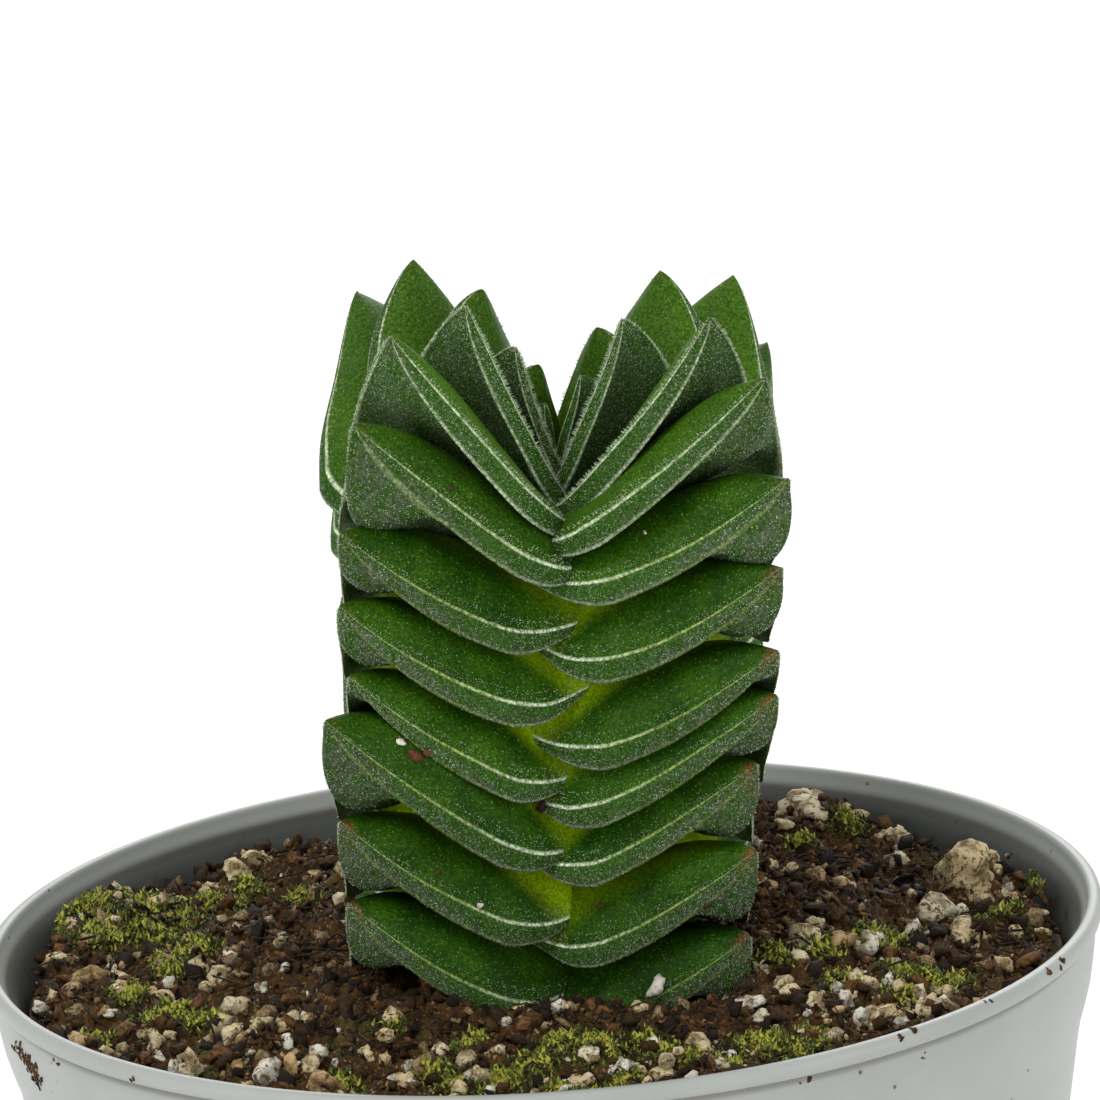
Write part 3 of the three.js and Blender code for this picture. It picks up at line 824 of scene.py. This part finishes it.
# %% [markdown]
# ## Soil
# Dark peat fills the pot to just under its rim, lowest along the wall and highest round the plant. A
# disc of rings, spun like the pot, is lifted by the same low hills as the packed soil, and then by a
# finer, rougher relief. Its side and underside are smooth, because they rest against the pot.

# %% Soil bed
SOIL_AT_WALL = 2.6
SOIL_AT_PLANT = 1.1
SOIL_STEPS = 480
SOIL_PILES = (
    # middle x and y, width along x and y, rise: heaps against the wall, and dips in front of the plant
    (-23.5, -1, 5, 9, 0.9), (-22, 8, 4.5, 6, 1.5), (-13, 20, 6, 5, 0.6), (14, 20, 5.5, 5, 1.5),
    (24, 5, 3.5, 6, 1.2), (0, -8.5, 8, 3.5, -0.8), (7, -8.5, 3.4, 3, -1.4),
)


def soil_level(x, y):
    """Height of the soil's hills in millimetres, without the fine relief."""
    near = ease(24, 12, np.hypot(x, y))
    hills = (
        0.32 * np.sin(0.41 * x + 1.3) * np.cos(0.37 * y - 0.6)
        + 0.2 * np.sin(0.93 * x - 0.71 * y)
        + 0.12 * np.cos(1.71 * x + 1.33 * y + 0.8)
    )
    for middle_x, middle_y, wide_x, wide_y, rise in SOIL_PILES:
        hills = hills + rise * np.exp(-(((x - middle_x) / wide_x) ** 2) - ((y - middle_y) / wide_y) ** 2)
    return POT_HEIGHT - mix(SOIL_AT_WALL, SOIL_AT_PLANT, near) + hills


def soil_relief(x, y):
    """Lumps and pits of the peat, a few tenths of a millimetre."""
    spot = Vector((x, y, 0))
    lumps = noise.fractal(spot * 0.9, 0.6, 2.1, 6, noise_basis="PERLIN_ORIGINAL")
    crumbs = abs(noise.noise(spot * 2.4 + Vector((9, 4, 2)))) + 0.5 * abs(noise.noise(spot * 5.5))
    return 0.5 * lumps + 0.5 * crumbs - 0.15


def soil_top(x, y):
    return soil_level(x, y) + soil_relief(x, y)


soil_edge = wall_radius(45.0) - 0.3
rings = [(soil_edge * math.sqrt(k), 0.0) for k in np.linspace(0, 1, 160)]
soil_side = [(wall_radius(h) - 0.3, h) for h in np.linspace(44.4, 1.7, 12)]
bm = spun(rings + soil_side + [(17.5, 1.5), (0, 1.5)], SOIL_STEPS)
for vertex in bm.verts:
    x, y = vertex.co.x / MM, vertex.co.y / MM
    if abs(vertex.co.z) < 1e-7:
        fade = ease(soil_edge, soil_edge - 1.2, math.hypot(x, y))
        vertex.co.z = mix(45.0, soil_top(x, y), fade) * MM
soil_mesh = mesh_of(bm, "soil")
print("soil:", len(soil_mesh.polygons), "faces")

# %% Soil finish
PEAT_BLACK = (0.014, 0.008, 0.004)
PEAT_BROWN = (0.072, 0.036, 0.010)
PEAT_RED = (0.19, 0.085, 0.026)
PEAT_TAN = (0.36, 0.25, 0.12)
MOSS_DUST = (0.060, 0.080, 0.010)

paint = Finish("wet_peat", gloss=0.15)
coarse = paint.noise(0.9, 5.0, 0.7)
fine = paint.noise(4.5, 4.0, 0.65)
colour = paint.blend(paint.step(coarse, 0.35, 0.62), PEAT_BLACK, PEAT_BROWN)
colour = paint.blend(paint.step(fine, 0.52, 0.66), colour, PEAT_RED)
colour = paint.blend(paint.step(fine, 0.62, 0.7, 0.0, 0.9), colour, PEAT_TAN)
mossy = paint.step(paint.noise(0.16, 3.0), 0.5, 0.66, 0.0, 0.7)
colour = paint.blend(paint.times(mossy, paint.step(coarse, 0.45, 0.6)), colour, MOSS_DUST)
paint.give("Base Color", colour)
paint.give("Roughness", paint.step(coarse, 0.4, 0.6, 0.45, 0.9))
paint.relief(fine, 0.12)
show(soil_mesh, "soil_bed", "soil", paint.material, replaces=["soil"])

# %% [markdown]
# ## What lies on the soil
# Crumbs and fibres of peat, mineral grains and cushions of moss lie on it and partly in it. The
# biggest grains and the patches of moss lie where the picture shows them: the line from the camera
# through a point of the picture is followed down to the soil.

# %% Places on the soil
def soil_spot(x, y):
    """Where the line through a point of the picture meets the soil, in millimetres."""
    way = ray_through(x, y)
    level = POT_HEIGHT - 1.8
    for _ in range(3):
        spot = eye + way * ((level - eye.z) / way.z)
        level = float(soil_level(spot.x, spot.y))
    return spot.x, spot.y


def free_spots(count, widest=25.2):
    """Random places on the soil, outside the column of leaves."""
    spots = []
    while len(spots) < count:
        radius = widest * math.sqrt(chance.random())
        turn = chance.uniform(0, 2 * math.pi)
        x, y = radius * math.cos(turn), radius * math.sin(turn)
        if max(abs(x - PLANT_FOOT[0]), abs(y - PLANT_FOOT[1])) > 8.6:
            spots.append((x, y))
    return np.array(spots)


def round_spots(radius, turn):
    return np.column_stack((radius * np.cos(turn), radius * np.sin(turn)))


def tops(spots):
    """Heights of the soil's surface at these places."""
    return np.array([soil_top(x, y) for x, y in spots])


def lying(spots, sink, sizes):
    """Places for things that lie on the soil, each raised by a share of its height."""
    return np.column_stack((spots, tops(spots) + sizes[:, 2] * sink))


def loose_ways(count, spread):
    """Directions near straight up."""
    ways = chance.normal(0, spread, (count, 3))
    ways[:, 2] = 1
    return ways


def joined(meshes, name):
    """One mesh from many."""
    bm = bmesh.new()
    for mesh in meshes:
        add_mesh(bm, mesh)
    mesh = mesh_of(bm, name)
    print(name + ":", len(mesh.polygons), "faces")
    return mesh


# %% Peat crumbs
CRUMB_SHAPES = 10
CRUMBS_OF_A_SHAPE = 720
FIBRES = 900


def crumb_shape(seed):
    return small_ball(1, 1.5, seed)


crumbs = []
for seed in range(CRUMB_SHAPES):
    count = CRUMBS_OF_A_SHAPE
    sizes = (0.16 + 0.6 * chance.random(count) ** 2.4)[:, None] * chance.uniform(0.35, 1.7, (count, 3))
    places = lying(free_spots(count), 0.12, sizes)
    ways = loose_ways(count, 1.0)
    crumbs.append(scattered("crumbs", crumb_shape(seed), places, ways, sizes, chance.random(count)))

fibre = small_cone(4, top=0.25, capped=True, roughen=0.3)
thin, long = chance.uniform(0.07, 0.16, (FIBRES, 2)), chance.uniform(0.8, 3.0, FIBRES)
ways = chance.normal(0, 1, (FIBRES, 3)) * np.array((1, 1, 0.22))
spots = free_spots(FIBRES, widest=24.4)
places = np.column_stack((spots, tops(spots) + 0.12))
tones = chance.random(FIBRES) * 0.7
crumbs.append(scattered("fibres", fibre, places, ways, np.column_stack((thin, long)), tones))
crumb_mesh = joined(crumbs, "crumbs and fibres")
crumb_mesh.shade_smooth()

paint = Finish("peat_crumb", roughness=0.75)
tone = paint.own("tone")
fine = paint.noise(5.0, 4.0, 0.65)
colour = paint.blend(paint.step(tone, 0.05, 0.65), PEAT_BLACK, PEAT_BROWN)
colour = paint.blend(paint.step(tone, 0.66, 0.85), colour, PEAT_RED)
colour = paint.blend(paint.step(tone, 0.88, 0.93), colour, PEAT_TAN)
colour = paint.blend(paint.step(fine, 0.4, 0.65, 0.0, 0.8), colour, PEAT_BLACK)
paint.give("Base Color", colour)
paint.relief(fine, 0.15)
crumb_finish = paint.material
show(crumb_mesh, "peat_crumbs", "soil", crumb_finish)

# %% [markdown]
# The mineral grains are pumice and perlite: cream, white and some stained orange, full of pores. The
# large ones each get their own dented ball. The pores are a relief in the finish.

# %% Mineral grains
PLACED_GRAINS = (
    # x and y in the picture, width in millimetres, tone from white (0) over cream to orange (1)
    (55, 925, 1.0, 0.5), (92, 940, 1.6, 0.35), (112, 936, 1.5, 0.35), (98, 985, 2.4, 0.8),
    (71, 995, 1.5, 0.75), (121, 990, 1.5, 0.55), (40, 962, 1.5, 0.7), (62, 966, 0.8, 0.3),
    (285, 983, 0.95, 0.0), (260, 994, 0.8, 0.1), (165, 1001, 1.3, 0.4), (242, 1010, 0.9, 0.35),
    (200, 1037, 1.3, 0.45), (236, 1042, 2.0, 0.4), (254, 1033, 1.8, 0.45), (286, 1028, 1.6, 0.6),
    (308, 1019, 1.1, 0.4), (148, 1034, 1.1, 0.4), (130, 1028, 0.9, 0.45), (172, 1036, 0.8, 0.4),
    (326, 1082, 1.9, 0.85), (104, 1041, 0.7, 0.2), (240, 872, 1.7, 0.5), (262, 868, 1.2, 0.5),
    (812, 811, 2.0, 0.3), (868, 809, 1.9, 0.45), (897, 845, 1.3, 0.45), (953, 829, 1.2, 0.25),
    (966, 884, 4.0, 0.66), (984, 892, 2.2, 0.7), (933, 913, 1.7, 0.25), (960, 938, 1.9, 0.5),
    (980, 944, 1.2, 0.5), (803, 943, 1.7, 0.35), (762, 977, 0.9, 0.0), (748, 1009, 1.6, 0.15),
    (770, 871, 1.0, 0.45), (784, 831, 0.9, 0.5), (797, 889, 0.9, 0.45), (830, 932, 1.0, 0.5),
    (933, 994, 1.9, 0.45), (815, 1013, 1.2, 0.4), (885, 1017, 1.0, 0.45), (748, 1061, 1.2, 0.95),
    (832, 1037, 1.5, 0.3), (1061, 908, 0.8, 0.3), (1050, 935, 1.0, 0.5), (415, 1068, 1.2, 0.1),
    (497, 1062, 1.3, 0.35), (620, 1067, 1.5, 0.1), (545, 1058, 1.0, 0.4), (688, 1046, 1.3, 0.35),
    (735, 1003, 1.2, 0.05), (460, 1084, 1.0, 0.5), (385, 1050, 1.0, 0.5), (575, 1082, 1.1, 0.6),
    (662, 1078, 1.1, 0.4), (790, 1000, 0.9, 0.5), (210, 893, 1.2, 0.5), (318, 880, 1.0, 0.55),
    (520, 1055, 1.2, 0.3), (590, 1066, 1.1, 0.25), (640, 1060, 1.2, 0.4), (440, 1062, 1.1, 0.35),
    (480, 1074, 1.0, 0.2), (710, 1044, 1.0, 0.3), (765, 1022, 1.2, 0.25), (800, 972, 1.2, 0.3),
    (845, 800, 1.8, 0.35), (790, 812, 1.5, 0.4), (890, 833, 1.4, 0.4), (920, 842, 1.1, 0.35),
)
GRAIN_ZONES = (
    # how many, nearest and farthest from the pot's axis in millimetres, and between which directions
    (50, 11, 24.6, -180, 180), (50, 11, 24.6, -180, 180), (50, 11, 24.6, -180, 180),
    (110, 19, 25, -145, -30), (110, 17, 25, -140, -25), (70, 12, 24, -30, 55), (60, 16, 25, 165, 220),
)
GRAIN_REACH = 25.0


def grain_shape(seed, subdivisions=3):
    return small_ball(subdivisions, 1.0, seed)


grains = []
for number, (x, y, width, tone) in enumerate(PLACED_GRAINS):
    size = 0.88 * width * np.array([[1, chance.uniform(0.65, 1.0), chance.uniform(0.5, 0.75)]])
    spot = np.array([soil_spot(x, y)])
    spot *= min(1, (GRAIN_REACH - 0.5 * width) / np.hypot(*spot[0]))
    place, way = lying(spot, 0.22, size), loose_ways(1, 0.3)
    grains.append(scattered("grain", grain_shape(number), place, way, size, np.array([tone])))
for number, (count, nearest, farthest, first_way, last_way) in enumerate(GRAIN_ZONES):
    sizes = (0.3 + 1.0 * chance.random(count) ** 2)[:, None] * chance.uniform(0.6, 1.1, (count, 3))
    radius = chance.uniform(nearest, farthest, count)
    spots = round_spots(radius, np.radians(chance.uniform(first_way, last_way, count)))
    tones = np.clip(chance.normal(0.45, 0.28, count), 0, 1)
    places, ways = lying(spots, 0.15, sizes), loose_ways(count, 0.8)
    grains.append(scattered("grains", grain_shape(70 + number, 2), places, ways, sizes, tones))
grain_mesh = joined(grains, "grains")
grain_mesh.shade_smooth()

paint = Finish("pumice", roughness=0.8)
tone = paint.own("tone")
pores = paint.noise(3.2, 4.0, 0.65)
stain = paint.noise(1.1, 4.0, 0.6)
colour = paint.blend(paint.step(tone, 0.05, 0.45), (0.82, 0.78, 0.66), (0.72, 0.60, 0.35))
colour = paint.blend(paint.step(tone, 0.55, 0.95), colour, (0.60, 0.38, 0.18))
colour = paint.blend(paint.step(pores, 0.5, 0.62), colour, (0.17, 0.09, 0.035))
colour = paint.blend(paint.step(stain, 0.46, 0.62, 0.0, 0.75), colour, (0.15, 0.095, 0.028))
paint.give("Base Color", colour)
paint.relief(pores, 0.3)
show(grain_mesh, "mineral_grains", "soil", paint.material)

# %% [markdown]
# The moss is a carpet of tiny pointed leaves, bright yellow-green at its tips. Each is a thin
# four-sided cone, and a patch is a few hundred of them, thickest in its middle.

# %% Moss
MOSS_PATCHES = (
    # x and y in the picture, radius in millimetres, about how many leaves
    (90, 908, 2.6, 700), (128, 905, 2.8, 800), (170, 915, 2.6, 600), (215, 905, 2.4, 500),
    (110, 940, 2.4, 600), (150, 945, 2.2, 500), (190, 950, 2.0, 350), (165, 975, 1.6, 300),
    (60, 925, 1.4, 220), (250, 890, 1.6, 220), (300, 903, 2.0, 300), (165, 1018, 2.0, 450),
    (205, 1022, 1.6, 300), (130, 1000, 1.4, 240), (100, 1045, 1.2, 160), (338, 1078, 1.4, 350),
    (880, 943, 2.0, 650), (850, 985, 1.8, 300), (938, 990, 2.2, 550), (905, 1003, 1.6, 300),
    (763, 1046, 1.8, 700), (735, 1068, 1.4, 350), (800, 1046, 1.4, 300), (1047, 882, 1.4, 200),
    (1000, 915, 1.4, 200), (780, 955, 1.8, 350), (820, 960, 1.6, 260), (500, 1078, 1.8, 550),
    (430, 1074, 1.4, 260), (560, 1050, 1.4, 260), (600, 1062, 1.8, 420), (655, 1050, 1.8, 420),
    (700, 1060, 1.6, 420), (560, 1086, 1.2, 300), (390, 1030, 1.2, 160), (470, 1050, 1.2, 200),
    (530, 1070, 1.6, 420), (450, 1082, 1.3, 300), (625, 1078, 1.3, 300), (590, 1084, 1.2, 260),
    (820, 1030, 1.3, 260), (905, 975, 1.4, 260), (850, 835, 1.3, 200), (800, 850, 1.2, 160),
)
MOSS_REACH = 25.3
MOSS_DENSITY = 1.35
moss_leaf = small_cone(4)
patches = []
for x, y, radius, count in MOSS_PATCHES:
    count = round(MOSS_DENSITY * count)
    reach = radius * np.sqrt(chance.random(count)) ** 1.3
    turn = chance.uniform(0, 2 * math.pi, count)
    spots = np.array(soil_spot(x, y)) + round_spots(reach, turn) * np.array((1, 0.8))
    inside = np.hypot(spots[:, 0], spots[:, 1]) < MOSS_REACH
    spots, reach = spots[inside], reach[inside]
    count = len(spots)
    wide, tall = chance.uniform(0.12, 0.26, (count, 2)), chance.uniform(0.2, 0.5, count)
    cushion = 0.5 * (1 - (reach / radius) ** 2)
    places = np.column_stack((spots, tops(spots) + cushion * chance.uniform(0.3, 1, count)))
    tones = np.clip(cushion + chance.normal(0.15, 0.25, count), 0, 1)
    sizes = np.column_stack((wide, tall))
    patches.append(scattered("moss", moss_leaf, places, loose_ways(count, 0.6), sizes, tones))
moss_mesh = joined(patches, "moss")

paint = Finish("moss_green", roughness=0.6)
tone = paint.own("tone")
colour = paint.blend(paint.step(tone, 0.0, 0.7), (0.018, 0.026, 0.004), (0.11, 0.14, 0.014))
colour = paint.blend(paint.step(tone, 0.4, 0.8), colour, (0.44, 0.43, 0.06))
dry = paint.step(paint.noise(2.5, 2.0), 0.5, 0.75, 0.0, 0.6)
paint.give("Base Color", paint.blend(dry, colour, (0.05, 0.03, 0.012)))
show(moss_mesh, "moss_carpet", "soil", paint.material)

# %% [markdown]
# ## Bits that lie on the leaves and the rim
# A few grains and crumbs were splashed onto the leaves and the pot. Each lies where a line from the
# camera through a point of the picture first meets the plant, and a little sunk into it.

# %% Debris
LEAF_BITS = (
    # x and y in the picture, size in millimetres (across, along, high), tone: 0 white, 1 dark
    (400, 742, (0.3, 0.5, 0.25), 0.0), (415, 757, (0.7, 0.4, 0.3), 0.75),
    (427, 753, (0.35, 0.3, 0.2), 0.6), (543, 806, (0.5, 0.75, 0.4), 1.0),
    (452, 487, (0.3, 0.22, 0.15), 0.9), (645, 533, (0.2, 0.2, 0.15), 0.1),
    (657, 987, (0.8, 1.1, 0.6), 0.15), (600, 905, (0.3, 0.25, 0.2), 0.8),
    (438, 872, (0.25, 0.2, 0.15), 0.8), (480, 905, (0.25, 0.3, 0.15), 0.2),
    (707, 905, (0.3, 0.25, 0.2), 0.9),
)


def skin_of(meshes):
    """What rays can hit: the faces of these meshes with the first finish, in millimetres."""
    corners, faces = [], []
    for mesh in meshes:
        start = len(corners)
        corners += [v.co / MM for v in mesh.vertices]
        faces += [[start + i for i in p.vertices] for p in mesh.polygons if p.material_index == 0]
    return BVHTree.FromPolygons(corners, faces)


leaf_skin = skin_of(blades[row].data for row in sorted(blades))
bits = []
for number, (x, y, size, tone) in enumerate(LEAF_BITS):
    spot, way, _, _ = leaf_skin.ray_cast(eye, ray_through(x, y))
    if spot is not None:
        place = spot + way * size[2] * 0.25
        bits.append(single(grain_shape(140 + number, 2), place, way, size, tone))
print("bits on the leaves:", len(bits), "of", len(LEAF_BITS))
bit_mesh = joined(bits, "bits")

paint = Finish("splashed_bit", roughness=0.7)
tone = paint.own("tone")
fine = paint.noise(4.0, 3.0)
colour = paint.blend(paint.step(tone, 0.05, 0.6), (0.75, 0.7, 0.6), (0.14, 0.04, 0.02))
colour = paint.blend(paint.step(tone, 0.7, 1.0), colour, (0.03, 0.015, 0.01))
paint.give("Base Color", paint.blend(paint.step(fine, 0.5, 0.7, 0.0, 0.5), colour, (0.05, 0.03, 0.02)))
paint.relief(fine, 0.1)
show(bit_mesh, "bits_on_leaves", "leaf", paint.material)

# %% [markdown]
# Wet soil has also dried onto the pot: a smear on the outside at the left, and specks along the rim.
# They are found in the same way, with the line from the camera against the pot's own faces.

# %% Soil on the pot
POT_BITS = (
    # x and y in the picture, and how many crumbs
    (16, 1046, 10), (21, 1052, 22), (27, 1060, 26), (32, 1068, 22), (37, 1077, 14), (40, 1084, 7),
    (1058, 962, 3), (1048, 970, 3), (986, 1002, 2), (900, 1036, 4), (915, 1030, 3), (60, 1062, 2),
    (130, 1079, 2), (925, 1057, 2), (803, 1081, 2),
)
SMEAR_PIXELS = 2.5
pot_skin = skin_of([pot_cut])
smear = []
for number, (x, y, count) in enumerate(POT_BITS):
    shape = crumb_shape(number)
    for _ in range(count):
        way = ray_through(x + chance.normal(0, SMEAR_PIXELS), y + chance.normal(0, SMEAR_PIXELS))
        spot, way, _, _ = pot_skin.ray_cast(eye, way)
        if spot is not None:
            size = chance.uniform(0.1, 0.4, 3) * np.array((1, 1, 0.5))
            smear.append(single(shape, spot, way, size, chance.uniform(0.3, 0.9)))
print("bits on the pot:", len(smear))
show(joined(smear, "smear"), "soil_on_pot", "soil", crumb_finish)
